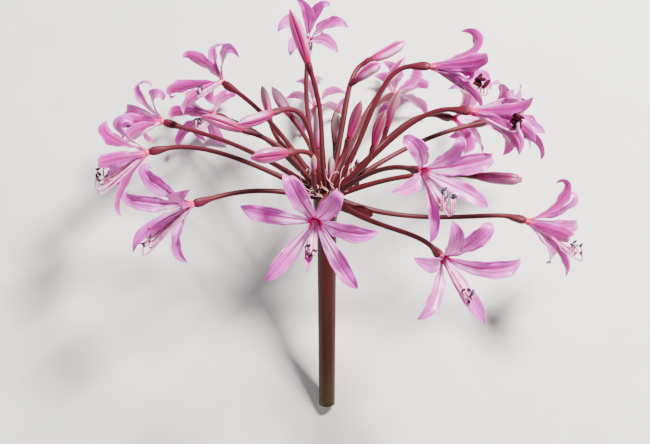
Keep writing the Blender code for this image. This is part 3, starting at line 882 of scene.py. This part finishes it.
@dataclass(frozen=True)
class PetalFinish:
    """Satin lilac-pink petal: veined, with pale stripes near its claw and deep pink in the throat; its pale
    patches are painted highlight, and its paler edges are partly its own colour and partly painted highlight.
    """

    body: Colour = srgb(180, 54, 160)
    pale: Colour = srgb(219, 114, 204)
    vein: Colour = srgb(150, 24, 118)
    rib: Colour = srgb(178, 28, 122)
    throat: Colour = srgb(255, 40, 128)
    stripe: Colour = srgb(246, 190, 232)
    outside: Colour = srgb(160, 29, 135)
    outside_rib: Colour = srgb(136, 14, 94)
    vein_count: float = 17.0
    roughness: tuple[float, float] = (0.24, 0.40)
    softness: float = 0.5
    soft_radius: tuple[float, float, float] = (1.0, 0.4, 0.85)
    soft_depth: float = 0.0025
    gloss: float = 0.6
    relief: float = 0.00025

    def make(self, veins: bpy.types.NodeTree) -> bpy.types.Material:
        """Makes the material.

        Args:
            veins: The node group of lengthwise veins.

        Returns:
            The material.
        """
        made, wiring, shader = new_material("petal_satin")
        _, (across, along, inner) = wiring.attribute("leaf")
        _, (tone, seed, _) = wiring.attribute("mark")
        given = {"Across": across, "Along": along, "Seed": seed, "Count": self.vein_count}
        vein, mottle = wiring.group(veins, "Vein", "Mottle", given)
        aside = wiring.math("ABSOLUTE", across)
        # Paler edges: partly the petal's own paler rim, partly painted highlight along its margins.
        margin = wiring.step(aside, 0.62, 1.0)
        # Painted highlight: pale patches laid over the petal by the mottle, standing in for the sheen of
        # light on the satin.
        painted_highlight = wiring.step(mottle, 0.3, 0.75, 0.12, 0.5)
        veined = wiring.times(vein, wiring.step(along, 0.98, 0.5, 0.4, 0.85))
        near_rib = wiring.times(wiring.step(aside, 0.17, 0.02), wiring.step(along, 0.99, 0.55, 0.25, 0.85))
        flank = wiring.times(wiring.step(aside, 0.10, 0.26), wiring.step(aside, 0.90, 0.60))
        near_claw = wiring.times(wiring.step(along, 0.04, 0.11), wiring.step(along, 0.58, 0.22))
        inside = wiring.coats(
            self.body,
            # Painted highlight: the pale patches, and the paler edges that are partly painted highlight.
            (wiring.math("MAXIMUM", painted_highlight, wiring.times(margin, 0.55)), self.pale),
            (wiring.times(tone, 0.25), self.pale),
            (veined, self.vein),
            (near_rib, self.rib),
            (wiring.times(flank, near_claw), self.stripe),
            (wiring.step(along, 0.085, 0.030), self.throat))
        outside = wiring.coats(
            self.outside,
            # Paler edges on the outer side: partly the petal's own colour, partly painted highlight.
            (wiring.times(margin, 0.4), self.pale),
            (wiring.times(vein, 0.55), self.rib),
            (wiring.times(wiring.step(aside, 0.30, 0.05), 0.85), self.outside_rib),
            (wiring.step(along, 0.16, 0.0, 0.0, 0.85), self.throat),
            (wiring.step(along, 0.80, 0.97, 0.0, 0.4), self.pale))
        tip = wiring.times(wiring.step(along, 0.965, 0.995), 0.6)
        height = wiring.math("SUBTRACT", mottle, wiring.times(vein, 0.8))
        wiring.feed(shader, {
            "Base Color": wiring.coats(outside, (inner, inside), (tip, self.rib)),
            "Roughness": wiring.step(mottle, 0.2, 0.8, *self.roughness),
            "Subsurface Weight": self.softness,
            "Subsurface Radius": self.soft_radius,
            "Subsurface Scale": self.soft_depth,
            "Specular IOR Level": self.gloss,
            "Normal": wiring.bump(height, self.relief, 0.7)})
        return made


@dataclass(frozen=True)
class BudFinish:
    """Satin closed bud: crimson base, pink sides with pale bands where the petals meet, paler tip."""

    base: Colour = srgb(144, 2, 64)
    side: Colour = srgb(130, 10, 78)
    light: Colour = srgb(208, 54, 162)
    band: Colour = srgb(252, 196, 236)
    line: Colour = srgb(96, 2, 42)
    greenish: Colour = srgb(98, 62, 62)
    olive: Colour = srgb(216, 198, 168)
    rib_count: float = 15.0
    roughness: tuple[float, float] = (0.28, 0.42)
    softness: float = 0.1
    soft_radius: tuple[float, float, float] = (0.7, 0.4, 0.7)
    soft_depth: float = 0.0015
    relief: float = 0.0002

    def make(self, mottle: bpy.types.NodeTree) -> bpy.types.Material:
        """Makes the material.

        Args:
            mottle: The node group of mottle and streaks.

        Returns:
            The material.
        """
        made, wiring, shader = new_material("bud_satin")
        ring, (round_x, round_y, along) = wiring.attribute("ring")
        _, (pale, green, seed) = wiring.attribute("mark")
        given = {"Ring": ring, "Length": wiring.math("ADD", seed, 2.0)}
        spots, streak = wiring.group(mottle, "Mottle", "Streak", given)
        turn = wiring.math("ARCTAN2", round_y, round_x)
        petals = wiring.math("COSINE", wiring.times(turn, 3.0))
        ribs = wiring.math("COSINE", wiring.times(turn, self.rib_count))
        band = wiring.times(wiring.step(petals, -0.1, 0.8), wiring.step(along, 0.1, 0.45, 0.2, 0.85))
        veined = wiring.times(wiring.step(ribs, 0.2, -0.8), wiring.step(streak, 0.3, 0.6))
        seam = wiring.times(wiring.step(petals, -0.80, -0.97), wiring.step(along, 1.0, 0.9))
        tip = wiring.times(wiring.step(along, 0.15, 0.85), green)
        height = wiring.math("SUBTRACT", streak, wiring.times(seam, 1.5))
        colour = wiring.coats(
            self.side,
            (pale, self.light),
            (wiring.times(band, pale), self.band),
            (wiring.times(veined, 0.75), self.side),
            (wiring.times(seam, 0.92), self.line),
            (tip, wiring.mix(pale, self.greenish, self.olive)),
            (wiring.step(along, 0.34, 0.0, 0.0, 0.96), self.base))
        wiring.feed(shader, {
            "Base Color": colour,
            "Roughness": wiring.step(spots, 0.2, 0.8, *self.roughness),
            "Subsurface Weight": self.softness,
            "Subsurface Radius": self.soft_radius,
            "Subsurface Scale": self.soft_depth,
            "Normal": wiring.bump(height, self.relief, 0.6)})
        return made


@dataclass(frozen=True)
class StemFinish:
    """Smooth fleshy stem, mottled and finely streaked, from one colour at its foot to another at its end."""

    name: str
    foot: Colour
    middle: Colour
    end: Colour
    speck: Colour
    ovary: Colour = srgb(84, 16, 40)
    turn_low: float = 0.35
    turn_high: float = 0.95
    roughness: float = 0.38
    rougher: float = 0.16
    grain: float = 60.0
    rib_count: float = 9.0
    gloss: float = 0.22
    relief: float = 0.0002

    def make(self, mottle: bpy.types.NodeTree) -> bpy.types.Material:
        """Makes the material.

        Args:
            mottle: The node group of mottle and streaks.

        Returns:
            The material.
        """
        made, wiring, shader = new_material(self.name)
        ring, (round_x, round_y, along) = wiring.attribute("ring")
        _, (tone, ovary, length) = wiring.attribute("mark")
        given = {"Ring": ring, "Length": wiring.times(length, self.grain)}
        spots, streak = wiring.group(mottle, "Mottle", "Streak", given)
        share = wiring.times(wiring.step(streak, 0.42, 0.75), 0.3)
        ribs = wiring.math("COSINE", wiring.times(wiring.math("ARCTAN2", round_y, round_x), self.rib_count))
        swollen = wiring.step(wiring.math("SUBTRACT", along, ovary), 0.0, 0.06)
        colour = wiring.coats(
            self.foot,
            (wiring.step(along, 0.0, self.turn_low), self.middle),
            (wiring.step(along, self.turn_low, self.turn_high), self.end),
            (wiring.math("ADD", share, wiring.times(tone, 0.25)), self.speck),
            (wiring.times(swollen, wiring.step(ribs, 0.6, -0.6, 0.25, 0.95)), self.ovary))
        wiring.feed(shader, {
            "Base Color": colour,
            "Roughness": wiring.step(spots, 0.25, 0.75, self.roughness, self.roughness + self.rougher),
            "Specular IOR Level": self.gloss,
            "Normal": wiring.bump(streak, self.relief, 0.25)})
        return made


@dataclass(frozen=True)
class ThreadFinish:
    """A filament, an anther, a bracteole, the cut or the floor: one colour that wanders to a second."""

    name: str
    first: Colour
    second: Colour
    scale: float
    roughness: float
    relief: float = 0.0001
    gloss: float = 0.5

    def make(self) -> bpy.types.Material:
        """Makes the material.

        Returns:
            The material.
        """
        made, wiring, shader = new_material(self.name)
        value = wiring.noise(wiring.node("TexCoord").outputs["Object"], self.scale, 4.0)
        wiring.feed(shader, {
            "Base Color": wiring.mix(wiring.step(value, 0.3, 0.7), self.first, self.second),
            "Roughness": self.roughness,
            "Specular IOR Level": self.gloss,
            "Normal": wiring.bump(value, self.relief, 0.5)})
        return made


@dataclass(frozen=True)
class BractFinish:
    """Dry, papery bract: brown-red with pale veins and browned edges."""

    body: Colour = srgb(46, 1, 6)
    pale: Colour = srgb(80, 6, 14)
    edge: Colour = srgb(30, 4, 6)
    vein_count: float = 24.0
    roughness: float = 0.8
    gloss: float = 0.15
    relief: float = 0.0003

    def make(self, veins: bpy.types.NodeTree) -> bpy.types.Material:
        """Makes the material.

        Args:
            veins: The node group of lengthwise veins.

        Returns:
            The material.
        """
        made, wiring, shader = new_material("papery_bract")
        _, (across, along, _) = wiring.attribute("leaf")
        given = {"Across": across, "Along": along, "Count": self.vein_count}
        vein, _ = wiring.group(veins, "Vein", "Mottle", given)
        margin = wiring.step(wiring.math("ABSOLUTE", across), 0.7, 1.0, 0.0, 0.8)
        wiring.feed(shader, {
            "Base Color": wiring.coats(self.body, (vein, self.pale), (margin, self.edge)),
            "Roughness": self.roughness,
            "Specular IOR Level": self.gloss,
            "Normal": wiring.bump(vein, self.relief, 0.8)})
        return made


class Palette:
    """Every finish of the part, made once."""

    def __init__(self) -> None:
        """Makes the node groups and the materials."""
        veins = vein_group()
        mottle = mottle_group()
        self.petal = PetalFinish().make(veins)
        self.bud = BudFinish().make(mottle)
        self.bract = BractFinish().make(veins)
        self.stalk = StemFinish(
            "stalk", srgb(68, 55, 27), srgb(72, 30, 25), srgb(70, 22, 28), srgb(94, 48, 40),
            turn_low=0.3, turn_high=0.9, roughness=0.45).make(mottle)
        self.pedicel = StemFinish(
            "pedicel", srgb(62, 10, 16), srgb(65, 11, 19), srgb(80, 17, 30), srgb(100, 35, 44),
            roughness=0.42).make(mottle)
        self.cut = ThreadFinish(
            "cut_stalk", srgb(196, 190, 150), srgb(160, 152, 104), 900.0, 0.5, 0.0003).make()
        self.filament = ThreadFinish("filament", srgb(240, 172, 214), srgb(214, 106, 168), 220.0, 0.35).make()
        self.spent_anther = ThreadFinish(
            "spent_anther", srgb(12, 10, 26), srgb(34, 24, 46), 900.0, 0.6, 0.0002).make()
        self.fresh_anther = ThreadFinish(
            "fresh_anther", srgb(56, 0, 16), srgb(34, 0, 12), 900.0, 0.65, 0.0002, gloss=0.1).make()
        self.bracteole = ThreadFinish(
            "bracteole", srgb(236, 196, 200), srgb(196, 120, 130), 160.0, 0.55).make()
        self.floor = ThreadFinish(
            "floor", srgb(232, 230, 226), srgb(226, 224, 220), 14.0, 0.85, 0.0004).make()


def claw_ways(base: Vector, axis: Vector, tepals: Sequence[Tepal]) -> list[Vector]:
    """Gives the way from the axis to each claw: evenly round the tube, in the order of the tips.

    Args:
        base: The flower's base.
        axis: The way that the flower faces.
        tepals: Its tepals.

    Returns:
        One direction for each tepal.
    """
    first = axis.orthogonal().normalized()
    second = axis.cross(first)
    turns = []
    for tepal in tepals:
        aside = seen_at(base, tepal.right, tepal.up, TEPAL_LENGTH, tepal.side) - base
        turns.append(math.atan2(aside.dot(second), aside.dot(first)))
    order = sorted(range(len(turns)), key=turns.__getitem__)
    step = 2.0 * math.pi / len(turns)
    east = sum(math.cos(turns[i] - rank * step) for rank, i in enumerate(order))
    north = sum(math.sin(turns[i] - rank * step) for rank, i in enumerate(order))
    begin = math.atan2(north, east)
    ways = {i: begin + rank * step for rank, i in enumerate(order)}
    return [first * math.cos(ways[i]) + second * math.sin(ways[i]) for i in range(len(turns))]


@dataclass
class OpenFlower:
    """One open flower: its petals with their tube, its threads and its anthers."""

    plan: Flower
    palette: Palette
    claw_ring: float = 0.0026
    tube_radii: tuple[float, ...] = (TUBE_FOOT, 0.0033, 0.0036, 0.0037, 0.0036, 0.0026)
    tube_sides: int = 18
    thread_ring: float = 0.0013
    thread_radius: float = 0.0010
    thread_rows: int = 19
    thread_scatter: tuple[float, float] = (-0.20, 0.06)
    dip_scatter: tuple[float, float] = (0.9, 1.1)
    style_reach: float = 1.06
    filaments: int = 6
    anther_rows: int = 7
    sides: int = 8

    def __post_init__(self) -> None:
        """Finds the flower's base and axis."""
        self.base = sight_point(self.plan.base, self.plan.depth)
        self.axis = facing(self.plan.faces)
        self.chance = random.Random(self.plan.name)

    def petals(self) -> bpy.types.Mesh:
        """Makes the tepals and the short tube that they grow from.

        Returns:
            Their joint mesh.
        """
        meshes = [self.tube()]
        for tepal, way in zip(self.plan.tepals, claw_ways(self.base, self.axis, self.plan.tepals)):
            claw = self.base + self.axis * (TUBE_LENGTH * 0.5) + way * self.claw_ring
            blade = Blade(Midrib(claw, self.axis, tepal), self.chance, self.chance.random())
            meshes.append(blade.mesh())
        return joined(meshes, self.plan.name)

    def tube(self) -> bpy.types.Mesh:
        """Makes the short tube below the petals, ribbed like them.

        Returns:
            The mesh, whose leaf attribute colours its end as the throat.
        """
        bm = sweep_mesh()
        leaf = bm.verts.layers.float_vector.new("leaf")
        places = spread(len(self.tube_radii))
        path = [self.base + self.axis * (TUBE_LENGTH * 1.1 * place) for place in places]
        Sweep(path, list(self.tube_radii), self.tube_sides,
              lambda angle, _: 1.0 + 0.05 * math.cos(6.0 * angle)).add_to(bm)
        ring = bm.verts.layers.float_vector["ring"]
        for vert in bm.verts:
            place = vert[ring].z
            vert[leaf] = Vector((0.4, 0.03, 1.0)) if place > 0.99 else Vector((0.0, 0.10 * place, 0.0))
        return finished(bm, "tube")

    def thread_line(self, number: int) -> list[Vector]:
        """Gives the control points of a thread.

        Args:
            number: Which thread it is: the filaments come first, and the style last.

        Returns:
            Four control points.
        """
        style = number == self.filaments
        right, up, side = self.plan.anthers
        reach = FILAMENT_LENGTH * (1.02 + 0.03 * (number % 3)) * (self.style_reach if style else 1.0)
        ring = self.axis.orthogonal().normalized() * (0.0 if style else self.thread_ring)
        ring.rotate(Quaternion(self.axis, math.radians(60.0 * number)))
        start = self.base + self.axis * (TUBE_LENGTH * 0.5) + ring
        aim = seen_at(self.base, right, up, reach, side) + ring * self.plan.fan
        aim += (aim - start) * self.chance.uniform(*self.thread_scatter)
        span = (aim - start).length
        low = aim - PLANT_UP * (span * self.plan.dip * self.chance.uniform(*self.dip_scatter))
        run = low - start
        return [start, start + run * 0.80 + self.axis * (span * 0.06), low + run * 0.12, aim]

    def anther(self, path: Sequence[Vector]) -> Sweep:
        """Gives the anther that lies across the end of a filament.

        Args:
            path: The filament's line.

        Returns:
            The anther's rod.
        """
        length, radius = self.plan.anther.value
        along = (path[-1] - path[-3]).normalized()
        random_way = Vector((self.chance.uniform(-1, 1), self.chance.uniform(-1, 1), 1.0))
        lie = (along.cross(random_way).normalized() + along * 0.5).normalized()
        places = spread(self.anther_rows)
        shares = [length * (2.0 * place - 1.0) for place in places]
        ends = [path[-1] + lie * share + along * (radius * 0.6) for share in shares]
        radii = [radius * max(0.25, math.sin(math.pi * (0.08 + 0.84 * place)) ** 0.6) for place in places]
        return Sweep(ends, radii, self.sides, lambda angle, _: 1.0 + 0.18 * math.cos(2.0 * angle))

    def stamens(self) -> tuple[bpy.types.Mesh, bpy.types.Mesh]:
        """Makes the threads and the anthers.

        Returns:
            The threads' mesh and the anthers' mesh.
        """
        rods = sweep_mesh()
        tips = sweep_mesh()
        places = spread(self.thread_rows)
        for number in range(self.filaments + 1):
            line = self.thread_line(number)
            path = [bezier(line, place) for place in places]
            radii = [self.thread_radius * (1.2 - 0.5 * place) for place in places]
            if number < self.filaments:
                self.anther(path).add_to(tips)
            else:
                radii[-2:] = [self.thread_radius * 1.1, self.thread_radius * 0.8]
            Sweep(path, radii, self.sides).add_to(rods)
        return finished(rods, "threads"), finished(tips, "anthers")

    def build(self) -> None:
        """Makes the flower's pieces."""
        name = self.plan.name
        show(name + "_petals", self.petals(), self.palette.petal, name)
        threads, anthers = self.stamens()
        show(name + "_threads", threads, self.palette.filament, name)
        finish = self.palette.fresh_anther if self.plan.anther is Anther.FRESH else self.palette.spent_anther
        show(name + "_anthers", anthers, finish, name)


@dataclass
class ClosedBud:
    """One closed bud: a slender spindle of six folded petals."""

    plan: Bud
    palette: Palette
    rows: int = 22
    sides: int = 24
    fold: float = 0.07
    seam: float = 0.13

    def profile(self, place: float) -> float:
        """Gives the bud's radius at a place.

        Args:
            place: How far along it, from 0 at its base to 1 at its tip.

        Returns:
            The share of its greatest radius.
        """
        widest = 0.5 + 0.3 * self.plan.blunt
        swell = BUD_FOOT + (1.0 - BUD_FOOT) * math.sin(0.5 * math.pi * min(1.0, place / 0.5))
        past = max(0.0, (place - widest) / (1.0 - widest))
        return swell * max(0.16 + 0.25 * self.plan.blunt, (1.0 - past**2.3) ** 0.8)

    def lobes(self, angle: float, place: float) -> float:
        """Gives the three rounded folds of a bud, deeper towards its tip."""
        seams = -self.seam * (0.5 - 0.5 * math.cos(3.0 * angle)) ** 6
        return 1.0 + (self.fold * math.cos(3.0 * angle) + seams) * blend(0.05, 0.5, place)

    def build(self) -> None:
        """Makes the bud."""
        plan = self.plan
        base = sight_point(plan.base, plan.depth)
        tip = sight_point(plan.tip, plan.tip_depth)
        way = tip - base
        chance = random.Random(plan.name)
        aside = way.orthogonal().normalized() * (way.length * chance.uniform(0.01, 0.04))
        aside.rotate(Quaternion(way.normalized(), chance.uniform(0.0, MOST_PHASE)))
        places = spread(self.rows)
        path = [base.lerp(tip, place) + aside * math.sin(math.pi * place) for place in places]
        radii = [plan.radius * self.profile(place) for place in places]
        toward = EYE - base
        toward.rotate(Quaternion(way.normalized(), math.radians(plan.spin)))
        mark = (plan.pale, plan.green, chance.random())
        mesh = Sweep(path, radii, self.sides, self.lobes, mark, toward).mesh(plan.name)
        show(plan.name + "_petals", mesh, self.palette.bud, plan.name)


@dataclass
class Stalk:
    """The stalk with its dome, the flower stems with their ovaries, and the threads between them."""

    palette: Palette
    length: float = 0.216
    radius: float = 0.0080
    sides: int = 44
    shaft_rows: int = 26
    neck_depth: float = 0.025
    neck_length: float = 0.035
    neck_rows: int = 12
    neck_share: float = 1.10
    cut_share: float = 0.86
    cut_rim: float = 0.12
    cut_relief: float = 0.0002
    cut_thickness: float = 0.0004
    cut_stand: float = 0.0001
    pedicel_radius: float = 0.0024
    pedicel_sides: int = 20
    rows: int = 34
    longest_curve: float = 0.035
    ovary_radius: float = 0.0040
    ovary_rows: int = 15
    bracteoles: int = 30
    bracteole_radius: float = 0.00060
    bracteole_rows: int = 24
    bracteole_sides: int = 6
    bracteole_heights: tuple[float, float] = (0.010, 0.034)
    bracteole_reaches: tuple[float, float] = (0.007, 0.025)
    bracteole_turns: tuple[float, float] = (4.5, 9.5)
    bracteole_loops: tuple[float, float] = (0.0035, 0.0065)
    bracteole_start: tuple[float, float] = (0.008, 0.002)

    def scape(self) -> None:
        """Makes the thick stalk, which widens into a dome under the flower stems."""
        below = self.length - self.neck_depth
        path = [Vector((0.0, 0.0, -self.length + below * place)) for place in spread(self.shaft_rows)]
        radii = [self.radius * (0.97 + 0.13 * place) for place in spread(self.shaft_rows)]
        neck = self.radius * self.neck_share
        for place in spread(self.neck_rows)[1:]:
            wide = neck + (DOME_RADIUS - neck) * blend(0.0, 0.55, place)
            path.append(Vector((0.0, 0.0, -self.neck_depth + self.neck_length * place)))
            radii.append(wide * math.sqrt(max(0.02, 1.0 - blend(0.55, 1.15, place) ** 1.6)))

        def lobes(angle: float, place: float) -> float:
            """Gives the stalk's faint lengthwise ridges."""
            return 1.0 + 0.012 * math.cos(5.0 * angle + 2.0 * place) + 0.008 * math.cos(11.0 * angle)

        mesh = Sweep(path, radii, self.sides, lobes, (0.0, 2.0, self.length)).mesh("stalk_shaft")
        show("stalk_shaft", mesh, self.palette.stalk, "stalk")

    def cut_face(self) -> None:
        """Makes the pale cut at the stalk's foot."""
        bm = bmesh.new()
        place = Matrix.Translation((0.0, 0.0, -self.length - self.cut_stand))
        radius = self.radius * self.cut_share
        bmesh.ops.create_circle(bm, cap_ends=True, segments=self.sides, radius=radius, matrix=place)
        rim = self.radius * self.cut_rim
        bmesh.ops.inset_region(bm, faces=bm.faces, thickness=rim, depth=self.cut_relief)
        bmesh.ops.solidify(bm, geom=bm.faces, thickness=self.cut_thickness)
        show("stalk_cut", finished(bm, "stalk_cut"), self.palette.cut, "stalk")

    def pedicel(self, plan: Flower | Bud, axis: Vector, ovary: float, end: float) -> None:
        """Makes one flower stem with the ovary at its end.

        Args:
            plan: The flower or bud that it carries.
            axis: The way that the flower or bud faces.
            ovary: The ovary's length.
            end: The ovary's radius at its very end.
        """
        name = "stem_" + plan.name
        chance = random.Random(name)
        base = sight_point(plan.base, plan.depth)
        reach = base.length
        way = base.normalized()
        start = way * (DOME_RADIUS * 0.6)
        leave = (way + PLANT_UP * plan.arch).normalized()
        neck = base - axis * ovary
        turn = min(0.35 * reach, self.longest_curve) * plan.bend
        bow = SIGHT_RIGHT * plan.sway
        line = [start, start + leave * (reach * 0.4) + bow, neck - axis * turn + bow * 0.4, neck]
        path = [bezier(line, place) for place in spread(self.rows)]
        slim = self.pedicel_radius * 0.95
        grown = self.ovary_radius if isinstance(plan, Flower) else max(slim * 1.12, end * 1.05)
        path += [neck + axis * (ovary * place) for place in spread(self.ovary_rows)[1:]]
        lengths = lengths_along(path)
        radii = []
        for spot in lengths:
            left = (lengths[-1] - spot) / ovary
            foot = 1.0 + 0.30 * blend(0.45, 0.0, spot / lengths[-1])
            radius = slim * foot + (grown - slim * foot) * blend(1.35, 0.40, left)
            radii.append(radius + (end - radius) * blend(0.26, 0.0, left))
        first = 1.0 - ovary / lengths[-1]

        def lobes(angle: float, place: float) -> float:
            """Gives the ovary's three ribs and the fine ones between them."""
            depth = blend(first, 0.5 + 0.5 * first, place)
            return 1.0 + (0.10 * math.cos(3.0 * angle) + 0.03 * math.cos(9.0 * angle)) * depth

        mark = (chance.random(), first, reach)
        mesh = Sweep(path, radii, self.pedicel_sides, lobes, mark).mesh(name)
        show(name, mesh, self.palette.pedicel, "stalk")

    def bracteole(self, number: int) -> bpy.types.Mesh:
        """Makes one fine curling thread that stands between the flower stems.

        Args:
            number: Its place in the ring of threads.

        Returns:
            Its mesh.
        """
        chance = random.Random(f"bracteole {number}")
        turn = 2.0 * math.pi * (number + chance.random()) / self.bracteoles
        away = Vector((math.cos(turn), math.sin(turn), 0.0))
        aside = Vector((-math.sin(turn), math.cos(turn), 0.0))
        tall = chance.uniform(*self.bracteole_heights)
        out = chance.uniform(*self.bracteole_reaches)
        wind = chance.uniform(*self.bracteole_turns)
        loop = chance.uniform(*self.bracteole_loops)
        first_out, first_up = self.bracteole_start
        path = []
        for place in spread(self.bracteole_rows):
            coil = wind * place**1.6
            curl = (aside * math.sin(coil) + PLANT_UP * (math.cos(coil) - 1.0)) * (loop * place)
            path.append(away * (first_out + out * place**0.8) + PLANT_UP * (first_up + tall * place) + curl)
        radii = [self.bracteole_radius * (1.0 - 0.6 * place) for place in spread(self.bracteole_rows)]
        return Sweep(path, radii, self.bracteole_sides).mesh("bracteole")

    def build(self) -> None:
        """Makes every piece that stands for the stalk."""
        self.scape()
        self.cut_face()
        for flower in FLOWERS:
            self.pedicel(flower, facing(flower.faces), OVARY_LENGTH, TUBE_FOOT)
        for bud in BUDS:
            way = sight_point(bud.tip, bud.tip_depth) - sight_point(bud.base, bud.depth)
            self.pedicel(bud, way.normalized(), BUD_OVARY_LENGTH, bud.radius * BUD_FOOT)
        threads = joined([self.bracteole(number) for number in range(self.bracteoles)], "bracteoles")
        show("bracteoles", threads, self.palette.bracteole, "stalk")


@dataclass
class Bract:
    """The dry bract that hangs out sideways below the umbel."""

    palette: Palette
    start: tuple[float, float, float] = (0.0114, -0.0042, -0.0100)
    way: tuple[float, float, float] = (0.80, 0.10, 0.60)
    strap: Tepal = Tepal(46, -19, 1.0, 50.0, width=0.8, length=0.5)
    tone: float = 0.5
    wave: float = 0.0014

    def build(self) -> None:
        """Makes the bract."""
        midrib = Midrib(Vector(self.start), facing(self.way), self.strap)
        blade = Blade(midrib, random.Random("bract"), self.tone, wave=self.wave)
        show("bract_blade", blade.mesh(), self.palette.bract, "bract")


@dataclass(frozen=True)
class Lamp:
    """One soft light: where it hangs, the side of its square, its power in watts and its colour."""

    name: str
    place: tuple[float, float, float]
    side: float
    power: float
    colour: Colour


@dataclass
class Studio:
    """The floor, the soft lights and the camera at the photograph's viewing angle."""

    palette: Palette
    lens: float = 64.6
    sensor: float = 36.0
    aim_below: float = 25.0
    aim_left: float = 2.0
    floor_half: float = 2.5
    lamps: tuple[Lamp, ...] = (
        Lamp("key", (0.70, 0.60, 1.45), 0.34, 122.0, (1.0, 0.98, 0.95)),
        Lamp("fill", (-1.2, -0.5, 1.2), 1.4, 7.0, (0.95, 0.97, 1.0)))
    lamps_aim: tuple[float, float, float] = (0.0, 0.0, 0.12)
    sky: tuple[float, float, float, float] = (0.92, 0.95, 1.0, 1.0)
    sky_strength: float = 0.18

    def floor(self) -> None:
        """Makes the plain floor."""
        bm = bmesh.new()
        bmesh.ops.create_grid(bm, x_segments=8, y_segments=8, size=self.floor_half)
        mesh = to_mesh(bm, "floor")
        mesh.materials.append(self.palette.floor)
        placed("floor", mesh)

    def lights(self) -> None:
        """Makes the soft lights, which shine on the flower head, and the sky."""
        for lamp in self.lamps:
            light = bpy.data.lights.new(lamp.name, "AREA")
            light.size = lamp.side
            light.energy = lamp.power
            light.color = lamp.colour
            item = placed(lamp.name, light)
            item.location = lamp.place
            way = Vector(self.lamps_aim) - Vector(lamp.place)
            item.rotation_euler = way.to_track_quat("-Z", "Y").to_euler()
        world = bpy.data.worlds.new("sky")
        world.use_nodes = True
        background = world.node_tree.nodes["Background"]
        background.inputs["Color"].default_value = self.sky
        background.inputs["Strength"].default_value = self.sky_strength
        bpy.context.scene.world = world

    def camera(self) -> None:
        """Makes the camera: it sees the plant as the photograph does, so it looks down on it here."""
        lens = bpy.data.cameras.new("camera")
        lens.lens = self.lens
        lens.sensor_width = self.sensor
        camera = placed("camera", lens)
        target = (SIGHT_UP * -self.aim_below - SIGHT_RIGHT * self.aim_left) * SIGHT_STEP
        ahead = (target - EYE).normalized()
        right = ahead.cross(SIGHT_UP).normalized()
        turn = Matrix((right, right.cross(ahead), -ahead)).transposed().to_4x4()
        camera.matrix_world = LYING @ Matrix.Translation(EYE) @ turn
        bpy.context.scene.camera = camera

    def build(self) -> None:
        """Makes the whole studio."""
        self.floor()
        self.lights()
        self.camera()


def main() -> None:
    """Builds the flower head over its frame."""
    logging.basicConfig(level=logging.INFO)
    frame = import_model()
    LOG.info("%d nodes", len(frame["nodes"]))
    palette = Palette()
    Studio(palette).build()
    Stalk(palette).build()
    Bract(palette).build()
    for plan in FLOWERS:
        OpenFlower(plan, palette).build()
    for plan in BUDS:
        ClosedBud(plan, palette).build()


if __name__ == "__main__":
    main()
